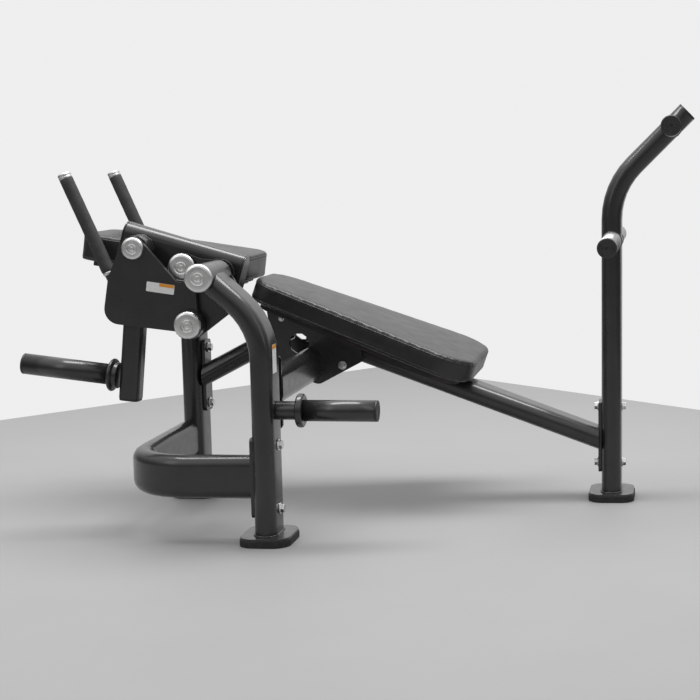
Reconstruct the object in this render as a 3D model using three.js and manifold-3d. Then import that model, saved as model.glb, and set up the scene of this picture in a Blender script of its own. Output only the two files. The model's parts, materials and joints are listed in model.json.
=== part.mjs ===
// Plate-loaded abdominal crunch bench: a three-footed frame carries a sloping bench pad and, on one
// side only, a four-bar linkage that lifts a head pad while two handles pull a weighted lever.
// Millimetres, +Z up. The origin is on the floor under the rear post; +X points from the head end to
// the rear post and beyond, and Y = 0 is the plane of the post, the spine rail and both pads.
import * as THREE from "three";
import { mergeVertices } from "three/addons/utils/BufferGeometryUtils.js";
import Module from "manifold-3d";

const wasm = await Module();
wasm.setup();

// ---- Driving dimensions -------------------------------------------------------------------------
const GAP = 0.3; // between pieces that touch on the real machine
const TUBE = { thick: 50, wide: 100, wall: 3 }; // flat-oval main tube
const HALF_THICK = TUBE.thick / 2;
const HALF_WIDE = TUBE.wide / 2;

const SIDE_LEG = { x: -755, y: -470, cornerZ: 492, bendR: 170 };
const CENTRE_LEG = { x: -1064.5, top: 462 };
const POST = { cornerZ: 785, bendR: 190, endX: 183, endZ: 968 };
const FOOT = { length: 116, width: 140, cornerR: 36, rubber: 14, plate: 6 };
const FOOT_TOP = FOOT.rubber + FOOT.plate / 2; // the tubes start inside their welded foot plates

// Linkage pivots in the X-Z plane: A lever to carrier, B carrier to rocker, C rocker to frame,
// D lever to frame.
const PIVOT = { A: [-1064, 657], B: [-963, 613], C: [-876, 601], D: [-940.5, 485] };
const LOOP_CLEARANCE = 6.5; // radial clearance of the rocker's eye round the pin at pivot B
const PIN_R = 10;
const SHAFT_R = 15; // the rocker's shaft through the hub at pivot C
const BUSH_R = 19;
const CAP = { small: 25, large: 31, depth: 9, chamfer: 4 };

// Planes of the linkage, as the Y of each piece's outer face and its thickness.
const LAYER = {
  hub: { front: -530, back: -392 },
  lever: { front: -408, back: -396 },
  gusset: { front: -391.7, back: -383 },
  rocker: { front: -372, back: -362 },
  carrier: { front: -355, back: -305 },
};

// The carrier tube's centre line passes a little below pivot A and above pivot B.
const CARRIER = { start: [-1110, 666.5], end: [-841, 588], plug: 4 };

// The pads' slope starts at the spine's point; the rail hangs a little below that line.
const SPINE = {
  x: -850, z: 460, tilt: THREE.MathUtils.degToRad(20.1), length: 872, railDrop: 5, railStart: 100,
};
const BENCH = {
  start: -66, end: 529, narrow: 127, wide: 200, narrowR: 75, wideR: 85, // narrow and wide are half widths
  board: 13, boardInset: 30, thick: 57,
};
const HEAD = {
  x: -1107, z: 581, tilt: THREE.MathUtils.degToRad(8),
  length: 420, width: 230, thick: 68, cornerR: 40, board: 12, boardInset: 30,
};
const PAD_ARM = { x: -957, z: 516, size: 36, end: -20 };

const HANDLE = {
  near: -150, far: 170, rodR: 12.5, gripR: 16, gripEnd: 246,
  top: [-1317, 811], foot: [-1206, 548], bendR: 60,
};
const CROSS_BAR = { x: -1082, z: 505, r: 19 };
const LEVER_ARM = { x: -1073, size: 47, cornerR: 14, wall: 3, top: 540, bottom: 310, splay: -24 };
const HORN = { r: 24, wall: 3.5, collarR: 38, collar: 15, storageZ: 300, weightZ: 361, rise: 0.12 };
const PEG = { r: 23.5, wall: 3, reach: 315, upper: [147, 932], lower: [2, 654] };
const FLANGE = { thick: 8, halfWide: 25, halfTall: 91, cornerR: 10 };
const BASE_BAR_Z = 148;
const STRUT_FLANGE_Z = 309;
const SPINE_FLANGE_Z = 160;
const BOLT = { r: 6, head: 10, headDepth: 8, washer: 13, washerDepth: 2.5 };

// ---- Finishes -----------------------------------------------------------------------------------
const finish = (color, roughness, metalness) =>
  new THREE.MeshStandardMaterial({ color, roughness, metalness });
const FRAME_PAINT = finish(0x26262a, 0.42, 0.2);
const SILVER = finish(0xc9c9c7, 0.28, 1.0);
const GREY_TUBE = finish(0x9a9a98, 0.4, 0.6);
const RUBBER = finish(0x141414, 0.85, 0.0);
const GRIP_FOAM = finish(0x2b2b2b, 0.8, 0.0);
const LEATHER = finish(0x1b1b1d, 0.55, 0.0);
const PLASTIC = finish(0x1d1d1d, 0.6, 0.0);
const PLYWOOD = finish(0x241f1c, 0.8, 0.0);

const machine = new THREE.Group();

function add(name, geometry, material, parent = machine) {
  const mesh = new THREE.Mesh(geometry, material);
  mesh.name = name;
  parent.add(mesh);
  return mesh;
}

// ---- Solids -------------------------------------------------------------------------------------
function solid(geometry) {
  const bare = new THREE.BufferGeometry();
  bare.setAttribute("position", geometry.getAttribute("position"));
  if (geometry.index) bare.setIndex(geometry.index);
  const merged = mergeVertices(bare, 1e-3);
  const triVerts = new Uint32Array(merged.index.array);
  return new wasm.Manifold(
    new wasm.Mesh({ numProp: 3, vertProperties: merged.attributes.position.array, triVerts }),
  );
}

function geometryOf(manifold) {
  const mesh = manifold.getMesh();
  const geometry = new THREE.BufferGeometry();
  geometry.setAttribute("position", new THREE.BufferAttribute(mesh.vertProperties, 3));
  geometry.setIndex(new THREE.BufferAttribute(mesh.triVerts, 1));
  return geometry;
}

const cut = (body, ...tools) =>
  geometryOf(tools.reduce((left, tool) => left.subtract(solid(tool)), solid(body)));
const join = (body, ...others) =>
  geometryOf(others.reduce((sum, other) => sum.add(solid(other)), solid(body)));

// A path of straight runs and filleted corners whose sections keep one fixed side direction.
class BentPath extends THREE.Curve {
  constructor(corners, bendR, side, arcSteps = 6) {
    super();
    this.side = side;
    this.stations = [{ at: corners[0], along: corners[1].clone().sub(corners[0]).normalize() }];
    for (let i = 1; i < corners.length - 1; i++) this.addBend(corners, i, bendR, arcSteps);
    const last = corners.length - 1;
    const lastRun = corners[last].clone().sub(corners[last - 1]);
    this.stations.push({ at: corners[last], along: lastRun.normalize() });
  }
  addBend(corners, i, bendR, arcSteps) {
    const before = corners[i].clone().sub(corners[i - 1]).normalize();
    const after = corners[i + 1].clone().sub(corners[i]).normalize();
    const turn = before.angleTo(after);
    const axis = before.clone().cross(after).normalize();
    const start = corners[i].clone().addScaledVector(before, -bendR * Math.tan(turn / 2));
    const centre = start.clone().addScaledVector(axis.clone().cross(before), bendR);
    for (let step = 0; step <= arcSteps; step++) {
      const angle = (turn * step) / arcSteps;
      const at = start.clone().sub(centre).applyAxisAngle(axis, angle).add(centre);
      this.stations.push({ at, along: before.clone().applyAxisAngle(axis, angle) });
    }
  }
  get steps() {
    return this.stations.length - 1;
  }
  getPoint(t) {
    return this.stations[Math.round(t * this.steps)].at.clone();
  }
  getPointAt(t) {
    return this.getPoint(t);
  }
  computeFrenetFrames() {
    const tangents = this.stations.map((station) => station.along);
    const binormals = tangents.map(() => this.side.clone());
    const normals = tangents.map((tangent) => this.side.clone().cross(tangent).normalize());
    return { tangents, normals, binormals };
  }
}

const ACROSS = new THREE.Vector3(0, 1, 0);
const UP = new THREE.Vector3(0, 0, 1);
const at = (x, y, z) => new THREE.Vector3(x, y, z);

// Sections: x is the thickness in the plane of the bend, y runs along the path's side direction.
function ovalOutline(thick, wide, target = new THREE.Shape()) {
  const r = thick / 2;
  const reach = wide / 2 - r;
  target.absarc(0, reach, r, 0, Math.PI, false);
  target.absarc(0, -reach, r, Math.PI, 2 * Math.PI, false);
  target.closePath();
  return target;
}

function flatOval(wall = TUBE.wall) {
  const section = ovalOutline(TUBE.thick, TUBE.wide);
  if (wall) section.holes.push(ovalOutline(TUBE.thick - 2 * wall, TUBE.wide - 2 * wall, new THREE.Path()));
  return section;
}

function round(outer, inner = 0) {
  const section = new THREE.Shape();
  section.absarc(0, 0, outer, 0, 2 * Math.PI, false);
  if (inner) section.holes.push(new THREE.Path().absarc(0, 0, inner, 0, 2 * Math.PI, false));
  return section;
}

// An outline that runs counter-clockwise round circles [x, y, r]; a negative r is a concave corner.
function belt(circles) {
  const count = circles.length;
  const normals = circles.map(([x, y, r], i) => {
    const [nextX, nextY, nextR] = circles[(i + 1) % count];
    const span = Math.hypot(nextX - x, nextY - y);
    const lean = Math.asin((r - nextR) / span);
    return Math.atan2(nextY - y, nextX - x) - Math.PI / 2 + lean;
  });
  const shape = new THREE.Shape();
  circles.forEach(([x, y, r], i) => {
    const flip = r < 0 ? Math.PI : 0;
    shape.absarc(x, y, Math.abs(r), normals[(i + count - 1) % count] + flip, normals[i] + flip, r < 0);
  });
  shape.closePath();
  return shape;
}

function sweep(section, corners, { bendR = 0, side = ACROSS, arcSteps = 6, curveSegments = 4 } = {}) {
  const extrudePath = new BentPath(corners, bendR, side, arcSteps);
  return new THREE.ExtrudeGeometry(section, { steps: extrudePath.steps, extrudePath, curveSegments });
}

const alongY = (section, [x, z], y0, y1, curveSegments = 10) =>
  sweep(section, [at(x, y0, z), at(x, y1, z)], { side: UP, curveSegments });
const alongX = (section, x0, x1, y, z, curveSegments = 10) =>
  sweep(section, [at(x0, y, z), at(x1, y, z)], { side: UP, curveSegments });

// A plate cut from sheet that stands in the X-Z plane between two Y values.
function sheet(shape, { front, back }, curveSegments = 3) {
  const depth = back - front;
  const plate = new THREE.ExtrudeGeometry(shape, { depth, bevelEnabled: false, curveSegments });
  return plate.rotateX(Math.PI / 2).translate(0, back, 0);
}

// A slab that lies in its own X-Y plane between two heights.
function slab(shape, z0, z1, curveSegments = 4) {
  const depth = z1 - z0;
  const plate = new THREE.ExtrudeGeometry(shape, { depth, bevelEnabled: false, curveSegments });
  return plate.translate(0, 0, z0);
}

function roundedRectangle(halfX, halfY, r) {
  const x = halfX - r;
  const y = halfY - r;
  return belt([[-x, -y, r], [x, -y, r], [x, y, r], [-x, y, r]]);
}

// A turned piece: its profile [radius, height] starts and ends on the axis, which then points along +Y.
function turned(profile, [x, z], y, segments = 20) {
  const points = profile.map(([radius, height]) => new THREE.Vector2(radius, height));
  return new THREE.LatheGeometry(points, segments).translate(x, y, z);
}

const PIN_HOLE = round(PIN_R + 3 * GAP);

// ---- Frame --------------------------------------------------------------------------------------
// A rubber foot pad; returns the steel plate above it, which is welded to the leg.
function footPlate(name, x, y) {
  const outline = roundedRectangle(FOOT.length / 2, FOOT.width / 2, FOOT.cornerR);
  add(name + "_rubber", slab(outline, 0, FOOT.rubber).translate(x, y, 0), RUBBER);
  const plateFrom = FOOT.rubber + GAP;
  const inset = roundedRectangle(FOOT.length / 2 - 2, FOOT.width / 2 - 2, FOOT.cornerR - 2);
  return slab(inset, plateFrom, plateFrom + FOOT.plate).translate(x, y, 0);
}

const boltHole = (x0, x1, y, z) => alongX(round(BOLT.r + GAP), x0, x1, y, z, 3);

// A washer and a hexagon that stand off the face at x, on the side that out points to.
function boltEnd(x, out, y, z) {
  const seat = x + out * GAP;
  const washerTop = seat + out * BOLT.washerDepth;
  const washer = alongX(round(BOLT.washer), seat, washerTop, y, z, 7);
  const hexagon = alongX(round(BOLT.head), seat, washerTop + out * BOLT.headDepth, y, z, 3);
  return join(washer, hexagon);
}

// A bolt along X with its head on the face at x0; without a nut its shank ends in a thread at x1.
function bolt(name, x0, x1, y, z, { nut = true } = {}) {
  const out = Math.sign(x1 - x0);
  const shank = alongX(round(BOLT.r), x0 - out * 2, x1 + (nut ? out * 2 : 0), y, z, 3);
  const ends = nut ? [boltEnd(x0, -out, y, z), boltEnd(x1, out, y, z)] : [boltEnd(x0, -out, y, z)];
  add(name, join(shank, ...ends), SILVER);
}

// An upright bolted plate square to X, its -X face at x; bolt holes are cut at the given heights.
function boltedFlange(x, y, z, boltHeights) {
  const outline = roundedRectangle(FLANGE.halfTall, FLANGE.halfWide, FLANGE.cornerR);
  const plate = sweep(outline, [at(0, 0, 0), at(FLANGE.thick, 0, 0)], { side: ACROSS }).translate(x, y, z);
  return cut(plate, ...boltHeights.map((height) => boltHole(x - 20, x + 40, y, height)));
}

const SIDE_BOLTS = [222, 76];
const CENTRE_BOLTS = [380, 238];
const POST_BOLTS = [236, 92];

function buildSideLeg() {
  const [hubX, hubZ] = PIVOT.C;
  const hubR = 30;
  const { x, y, cornerZ, bendR } = SIDE_LEG;
  const leg = sweep(flatOval(), [at(x, y, FOOT_TOP), at(x, y, cornerZ), at(hubX, y, hubZ)], { bendR });
  const hubSpace = alongY(round(hubR + GAP), PIVOT.C, y - 80, y + 80);
  const above = sweep(round(2 * HALF_WIDE), [at(hubX - 21, y, hubZ + 21), at(hubX - 150, y, hubZ + 150)]);
  const holes = SIDE_BOLTS.map((z) => boltHole(x - 60, x + 60, y, z));
  const bare = cut(leg, hubSpace, above, ...holes);
  add("side_leg", join(bare, footPlate("side_foot", x, y)), FRAME_PAINT);
  const hubBack = LAYER.hub.back - GAP;
  const bush = round(BUSH_R - GAP, SHAFT_R + GAP);
  add("side_leg_hub", alongY(round(hubR, BUSH_R), PIVOT.C, LAYER.hub.front, hubBack), FRAME_PAINT);
  add("hub_bush", alongY(bush, PIVOT.C, LAYER.hub.front, hubBack), SILVER);
}

const GUSSET_SPACER = [-838, 543];

// The plate behind the hub that carries the lever's fixed pivot.
function buildPivotGusset() {
  const [cX, cZ] = PIVOT.C;
  const [dX, dZ] = PIVOT.D;
  const [sX, sZ] = GUSSET_SPACER;
  const outline = belt([[dX, dZ, 34], [sX, sZ, 18], [cX, cZ, 24]]);
  const shaftHole = alongY(round(SHAFT_R + 2), PIVOT.C, -400, -370);
  const pinHole = alongY(PIN_HOLE, PIVOT.D, -400, -370);
  const spacer = alongY(round(14), GUSSET_SPACER, SIDE_LEG.y + HALF_WIDE + GAP, LAYER.gusset.front + 2, 5);
  add("pivot_gusset", join(cut(sheet(outline, LAYER.gusset), shaftHole, pinHole), spacer), FRAME_PAINT);
}

function buildCentreLeg() {
  const { x, top } = CENTRE_LEG;
  const leg = sweep(flatOval(), [at(x, 0, FOOT_TOP), at(x, 0, top)]);
  const holes = CENTRE_BOLTS.map((z) => boltHole(x, x + 60, 0, z));
  add("centre_leg", join(cut(leg, ...holes), footPlate("centre_foot", x, 0)), FRAME_PAINT);
  const bufferTop = CROSS_BAR.z - CROSS_BAR.r - GAP;
  const cap = slab(ovalOutline(TUBE.thick, TUBE.wide), top + GAP, top + 5).translate(x, 0, 0);
  add("lever_rest_buffer", join(cap, slab(round(18), top + 4, bufferTop).translate(x - 5, 0, 0)), RUBBER);
}

function buildRearPost() {
  const { cornerZ, bendR, endX, endZ } = POST;
  const path = [at(0, 0, FOOT_TOP), at(0, 0, cornerZ), at(endX, 0, endZ)];
  const holes = POST_BOLTS.map((z) => boltHole(-60, 60, 0, z));
  const pegHoles = [PEG.upper, PEG.lower].map((centre) => alongY(round(PEG.r + GAP), centre, -60, 60, 5));
  const bare = cut(sweep(flatOval(), path, { bendR }), ...holes, ...pegHoles);
  add("rear_post", join(bare, footPlate("rear_foot", 0, 0)), FRAME_PAINT);
  const cap = slab(ovalOutline(TUBE.thick, TUBE.wide), GAP, 4.5);
  const capMesh = add("rear_post_cap", cap, PLASTIC);
  capMesh.position.set(endX, 0, endZ);
  capMesh.rotation.y = Math.PI / 4;
}

// Two foot pegs: tubes through the post at two heights, with a moulded cap at each end.
function buildFootPegs() {
  const profile = [[0, -4], [PEG.r, -4], [PEG.r, 0], [PEG.r - 3, 2.5], [0, 2.5]];
  for (const [level, centre] of [["upper", PEG.upper], ["lower", PEG.lower]]) {
    const reach = PEG.reach - 8;
    add(level + "_peg", alongY(round(PEG.r, PEG.r - PEG.wall), centre, -reach, reach, 5), GREY_TUBE);
    for (const [side, sign] of [["near", -1], ["far", 1]]) {
      const cap = add(level + "_peg_cap_" + side, turned(profile, [0, 0], 0), PLASTIC);
      cap.position.set(centre[0], sign * (PEG.reach - 3.5), centre[1]);
      if (sign < 0) cap.rotation.x = Math.PI;
    }
  }
}

// The bar near the floor: along X from the side leg, round a large bend, then across to the centre leg.
function buildBaseBar() {
  const z = BASE_BAR_Z;
  const flangeX = SIDE_LEG.x - HALF_THICK - GAP - FLANGE.thick;
  const legSide = at(flangeX + 2, SIDE_LEG.y, z);
  const corner = at(CENTRE_LEG.x - 9, SIDE_LEG.y, z);
  const centreSide = at(CENTRE_LEG.x - 9, 20 - HALF_WIDE, z);
  const bar = sweep(flatOval(), [legSide, corner, centreSide], { bendR: 125, side: UP, arcSteps: 9 });
  const legSpace = sweep(ovalOutline(TUBE.thick + 2 * GAP, TUBE.wide + 2 * GAP),
    [at(CENTRE_LEG.x, 0, 0), at(CENTRE_LEG.x, 0, 400)], { curveSegments: 6 });
  const holes = SIDE_BOLTS.map((boltZ) => boltHole(flangeX - 20, flangeX + 40, SIDE_LEG.y, boltZ));
  const flange = boltedFlange(flangeX, SIDE_LEG.y, z, SIDE_BOLTS);
  add("base_bar", join(cut(bar, legSpace, ...holes), flange), FRAME_PAINT);
  SIDE_BOLTS.forEach((boltZ, i) =>
    bolt("side_leg_bolt_" + (i + 1), SIDE_LEG.x + HALF_THICK, flangeX, SIDE_LEG.y, boltZ, { nut: false }));
}

// Two cheek plates that hold the spine rail, the front strut and the cross tube together.
const CHEEK = {
  inner: HALF_WIDE + GAP, thick: 8, holeR: 25.5,
  corners: [[-818, 350, 22], [-735, 318, 22], [-629, 360, 9], [-645, 392, 16], [-838, 478, 22]],
};
const CROSS_TUBE = { x: -753, z: 345, thick: 48, tall: 86 };

function cheekOutline(holeX, holeZ) {
  const outline = belt(CHEEK.corners);
  outline.holes.push(new THREE.Path().absarc(holeX, holeZ, CHEEK.holeR, 0, 2 * Math.PI, false));
  return outline;
}

function buildCheeks(boardSpace) {
  const outer = CHEEK.inner + CHEEK.thick;
  const near = sheet(cheekOutline(-781, 398), { front: -outer, back: -CHEEK.inner }, 5);
  const far = sheet(cheekOutline(-795, 419), { front: CHEEK.inner, back: outer }, 5);
  add("spine_cheek_near", cut(near, boardSpace), FRAME_PAINT);
  add("spine_cheek_far", cut(far, boardSpace), FRAME_PAINT);
}

function buildFrontStrut() {
  const flangeX = CENTRE_LEG.x + HALF_THICK + GAP;
  const strut = sweep(flatOval(), [at(flangeX - 20, 0, STRUT_FLANGE_Z - 11), at(-825, 0, 422)]);
  const flangeMiddle = flangeX + FLANGE.thick / 2;
  const flangeSpace = alongX(roundedRectangle(150, 150, 10), flangeX - 80, flangeMiddle, 0, STRUT_FLANGE_Z);
  const holes = CENTRE_BOLTS.map((z) => boltHole(flangeX - 20, flangeX + 40, 0, z));
  const flange = boltedFlange(flangeX, 0, STRUT_FLANGE_Z, CENTRE_BOLTS);
  add("front_strut", join(cut(strut, flangeSpace, ...holes), flange), FRAME_PAINT);
  CENTRE_BOLTS.forEach((z, i) =>
    bolt("centre_leg_bolt_" + (i + 1), flangeX + FLANGE.thick, CENTRE_LEG.x + 5, 0, z, { nut: false }));
}

function buildCrossTube() {
  const { x, z, thick, tall } = CROSS_TUBE;
  const legFace = SIDE_LEG.y + HALF_WIDE + GAP;
  const legFlange = slab(roundedRectangle(24, 85, 12), 0, FLANGE.thick).rotateX(Math.PI / 2);
  legFlange.translate(SIDE_LEG.x, legFace + FLANGE.thick, z - 13);
  const section = ovalOutline(thick, tall);
  section.holes.push(ovalOutline(thick - 2 * TUBE.wall, tall - 2 * TUBE.wall, new THREE.Path()));
  const from = legFace + FLANGE.thick / 2;
  const to = -(CHEEK.inner + CHEEK.thick + GAP);
  const tube = sweep(section, [at(x, from, z), at(x, to, z)], { side: UP, curveSegments: 5 });
  add("cross_tube", join(tube, legFlange), FRAME_PAINT);
}

// Everything along the spine hangs in one tilted group: x runs down the slope and z is square to the pad.
// Returns the space that the pad's board and the pad take up, to trim the cheeks.
function buildSpine() {
  const spine = new THREE.Group();
  spine.position.set(SPINE.x, 0, SPINE.z);
  spine.rotation.y = SPINE.tilt;
  machine.add(spine);
  spine.updateMatrixWorld(true);

  const flangeX = -HALF_THICK - GAP - FLANGE.thick;
  const railZ = -SPINE.railDrop;
  const railFrom = SPINE.railStart;
  const rail = sweep(flatOval(), [at(railFrom, 0, railZ), at(SPINE.length + 40, 0, railZ)]);
  const postSpace = slab(roundedRectangle(100, 100, 1), -400, 400);
  postSpace.translate(flangeX + 2 + 100, 0, 165);
  const capEnds = [at(railFrom - GAP - 4, 0, railZ), at(railFrom - GAP, 0, railZ)];
  add("spine_rail_cap", sweep(flatOval(0), capEnds), PLASTIC, spine);

  const boardFrom = railZ + HALF_THICK + GAP;
  const boardTo = boardFrom + BENCH.board;
  add("bench_pad_board", slab(benchOutline(BENCH.boardInset), boardFrom, boardTo), PLYWOOD, spine);
  add("bench_pad", slab(benchOutline(0), boardTo + GAP, boardTo + GAP + BENCH.thick, 5), LEATHER, spine);

  const holes = POST_BOLTS.map((z) => boltHole(flangeX - 20, flangeX + 40, 0, z));
  const flange = boltedFlange(flangeX, 0, SPINE_FLANGE_Z, POST_BOLTS);
  const bareRail = cut(rail.applyMatrix4(spine.matrixWorld), postSpace, ...holes);
  add("spine_rail", join(bareRail, flange), FRAME_PAINT);
  POST_BOLTS.forEach((z, i) => bolt("rear_post_bolt_" + (i + 1), HALF_THICK, flangeX, 0, z));

  const boardSpace = slab(roundedRectangle(400, 200, 10), railZ + HALF_THICK, 300).translate(200, 0, 0);
  return boardSpace.applyMatrix4(spine.matrixWorld);
}

function benchOutline(inset) {
  const { start, end, narrow, wide, narrowR, wideR } = BENCH;
  return belt([
    [start + narrowR, narrowR - narrow, narrowR - inset],
    [end - wideR, wideR - wide, wideR - inset],
    [end - wideR, wide - wideR, wideR - inset],
    [start + narrowR, narrow - narrowR, narrowR - inset],
  ]);
}

// The plate store: a fixed horn on the side leg.
function buildStorageHorn() {
  const face = SIDE_LEG.x + HALF_THICK + GAP;
  const z = HORN.storageZ;
  const collarFrom = face + 47;
  const stub = alongX(round(21), face, collarFrom + 2, SIDE_LEG.y, z, 5);
  const collarTo = collarFrom + HORN.collar;
  const collar = alongX(round(HORN.collarR), collarFrom, collarTo, SIDE_LEG.y, z, 12);
  add("storage_horn_collar", join(stub, collar), FRAME_PAINT);
  const tip = collarTo + 161;
  add("storage_horn_sleeve",
    alongX(round(HORN.r, HORN.r - HORN.wall), collarTo + GAP, tip, SIDE_LEG.y, z, 12), FRAME_PAINT);
  add("storage_horn_cap", alongX(round(HORN.r), tip + GAP, tip + 5, SIDE_LEG.y, z, 12), PLASTIC);
}

// ---- Pivot caps ---------------------------------------------------------------------------------
// A domed cap facing -Y on a pin that runs back to pinBack.
function pivotCap(name, centre, r, back, pinR, pinBack) {
  const { depth, chamfer } = CAP;
  const pinEnd = pinBack - back;
  const pin = [[0, pinEnd], [pinR, pinEnd], [pinR, 0]];
  const dome = [[r, 0], [r, chamfer - depth], [r - chamfer, -depth], [0, -depth]];
  add(name, turned([...pin, ...dome].reverse(), centre, back), SILVER);
}

// ---- Lever --------------------------------------------------------------------------------------
function leverOutline() {
  const [aX, aZ] = PIVOT.A;
  const [dX, dZ] = PIVOT.D;
  return belt([
    [aX - 3, aZ, 27], [-1113, 585, 12], [-1102, 518, 34], // round pivot A and down the head side
    [dX, dZ, 20], [-943, 562, 18], [-962, 590, -10], // round pivot D and up beside the rocker
  ]);
}

function buildLever() {
  const { front, back } = LAYER.lever;
  const pinHoles = [PIVOT.A, PIVOT.D].map((pivot) => alongY(PIN_HOLE, pivot, front - 20, back + 5, 5));
  const bossFront = front - 14;
  const boss = alongY(round(CAP.large + 2), PIVOT.D, bossFront, back);
  add("lever_plate", cut(join(sheet(leverOutline(), LAYER.lever, 4), boss), ...pinHoles), FRAME_PAINT);
  pivotCap("lever_pivot_pin", PIVOT.D, CAP.large, bossFront - GAP, PIN_R, LAYER.gusset.back + 8);

  const { x, size, cornerR, wall, top, bottom, splay } = LEVER_ARM;
  const armY = back + GAP + size / 2;
  const section = roundedRectangle(size / 2, size / 2, cornerR);
  const bore = roundedRectangle(size / 2 - wall, size / 2 - wall, cornerR - wall);
  section.holes.push(new THREE.Path(bore.getPoints(3)));
  const end = at(x + splay, armY, bottom);
  add("lever_arm", sweep(section, [at(x, armY, top), end], { curveSegments: 3 }), FRAME_PAINT);
  const down = at(splay, 0, bottom - top).normalize();
  const plug = sweep(roundedRectangle(size / 2 - 1, size / 2 - 1, cornerR - 1),
    [end.clone().addScaledVector(down, GAP), end.clone().addScaledVector(down, 5)], { curveSegments: 3 });
  add("lever_arm_plug", plug, PLASTIC);

  const barFrom = armY + size / 2 + GAP;
  const bar = alongY(round(CROSS_BAR.r), [CROSS_BAR.x, CROSS_BAR.z], barFrom, HANDLE.far + 24, 5);
  const rods = [buildHandle("near", HANDLE.near), buildHandle("far", HANDLE.far)];
  add("handle_frame", join(bar, ...rods), FRAME_PAINT);
  buildWeightHorn(armY);
}

// One handle's fittings; returns its bent rod, which is welded into the cross bar.
function buildHandle(side, y) {
  const [topX, topZ] = HANDLE.top;
  const [footX, footZ] = HANDLE.foot;
  const axis = at(footX - topX, 0, footZ - topZ).normalize();
  const barEnd = at(CROSS_BAR.x, y, CROSS_BAR.z);
  const path = [at(topX, y, topZ), at(footX, y, footZ), barEnd];
  const rod = sweep(round(HANDLE.rodR), path, { bendR: HANDLE.bendR, curveSegments: 8 });
  const point = (distance) => at(topX, y, topZ).addScaledVector(axis, distance);
  const run = (from, to, section) => sweep(section, [point(from), point(to)], { curveSegments: 12 });
  const ring = (r) => round(r, HANDLE.rodR + GAP);
  const cap = cut(run(-11, 3, round(HANDLE.gripR)), run(-GAP, 20, round(HANDLE.rodR + GAP)));
  add("handle_cap_" + side, cap, SILVER);
  add("handle_grip_" + side, run(3 + GAP, HANDLE.gripEnd, ring(HANDLE.gripR)), GRIP_FOAM);
  const collarFrom = HANDLE.gripEnd + GAP;
  add("handle_collar_" + side, run(collarFrom, collarFrom + 8, ring(HANDLE.gripR - 1)), SILVER);
  return rod;
}

// The weight horn points away from the rear post and rises slightly towards its tip.
function buildWeightHorn(y) {
  const { x, size, splay, top, bottom } = LEVER_ARM;
  const downArm = (top - HORN.weightZ) / (top - bottom);
  const face = at(x + splay * downArm - size / 2 - 2, y, HORN.weightZ);
  const outward = at(-1, 0, HORN.rise).normalize();
  const point = (distance) => face.clone().addScaledVector(outward, distance);
  const run = (from, to, section) => sweep(section, [point(from), point(to)], { curveSegments: 12 });
  const sleeveFrom = 24 + GAP;
  const tip = sleeveFrom + 199;
  add("weight_horn_collar", join(run(4, 16, round(30)), run(14, 24, round(HORN.collarR))), FRAME_PAINT);
  add("weight_horn_sleeve", run(sleeveFrom, tip, round(HORN.r, HORN.r - HORN.wall)), FRAME_PAINT);
  add("weight_horn_cap", run(tip + GAP, tip + 5, round(HORN.r)), PLASTIC);
}

// ---- Carrier and head pad -----------------------------------------------------------------------
function buildCarrier() {
  const middle = (LAYER.carrier.front + LAYER.carrier.back) / 2;
  const start = at(CARRIER.start[0], middle, CARRIER.start[1]);
  const end = at(CARRIER.end[0], middle, CARRIER.end[1]);
  const along = end.clone().sub(start).normalize();
  // The wide side of the flat oval stands upright, so the path's side direction lies in the X-Z plane.
  const upright = at(-along.z, 0, along.x);
  const tube = sweep(flatOval(), [start, end], { side: upright });
  for (const [place, from, out] of [["head", start, -1], ["rear", end, 1]]) {
    const face = from.clone().addScaledVector(along, out * GAP);
    const outside = from.clone().addScaledVector(along, out * CARRIER.plug);
    const path = out > 0 ? [face, outside] : [outside, face];
    add("carrier_plug_" + place, sweep(flatOval(0), path, { side: upright }), PLASTIC);
  }
  const holes = [PIVOT.A, PIVOT.B].map((pivot) => alongY(PIN_HOLE, pivot, -420, -260, 4));
  const boss = alongY(round(29), PIVOT.A, LAYER.lever.back + 1, LAYER.carrier.front + 6, 5);
  add("carrier_tube", cut(join(tube, boss), ...holes), FRAME_PAINT);
  const pinBack = LAYER.carrier.back - 2 * TUBE.wall;
  pivotCap("carrier_pivot_pin", PIVOT.A, CAP.small, LAYER.lever.front - GAP, PIN_R, pinBack);
  pivotCap("rocker_pivot_pin", PIVOT.B, CAP.large, LAYER.rocker.front - 8, PIN_R, pinBack);
  buildPadArm();
}

// A drop plate on the carrier's inner face and a cross arm under the head pad.
function buildPadArm() {
  const { x, z, size } = PAD_ARM;
  const front = LAYER.carrier.back + GAP;
  const plate = sheet(belt([[x, z, 22], [-905, 590, 14], [-985, 612, 14]]), { front, back: front + 8 }, 4);
  const section = roundedRectangle(size / 2, size / 2, 6);
  const arm = sweep(section, [at(0, front + 6, 0), at(0, PAD_ARM.end, 0)], { side: UP, curveSegments: 2 });
  arm.rotateY(HEAD.tilt).translate(x, 0, z);
  add("pad_cross_arm", join(plate, arm), FRAME_PAINT);
}

function buildHeadPad() {
  const pad = new THREE.Group();
  pad.position.set(HEAD.x, 0, HEAD.z);
  pad.rotation.y = HEAD.tilt;
  machine.add(pad);
  const outline = (inset) =>
    roundedRectangle(HEAD.length / 2 - inset, HEAD.width / 2 - inset, HEAD.cornerR - inset);
  add("head_pad", slab(outline(0), GAP, HEAD.thick, 5), LEATHER, pad);
  add("head_pad_board", slab(outline(HEAD.boardInset), -HEAD.board, 0), PLYWOOD, pad);
  const plate = slab(roundedRectangle(75, 60, 10), -HEAD.board - GAP - 5, -HEAD.board - GAP, 3);
  add("head_pad_mount_plate", plate.translate(100, 0, 0), FRAME_PAINT, pad);
}

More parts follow.
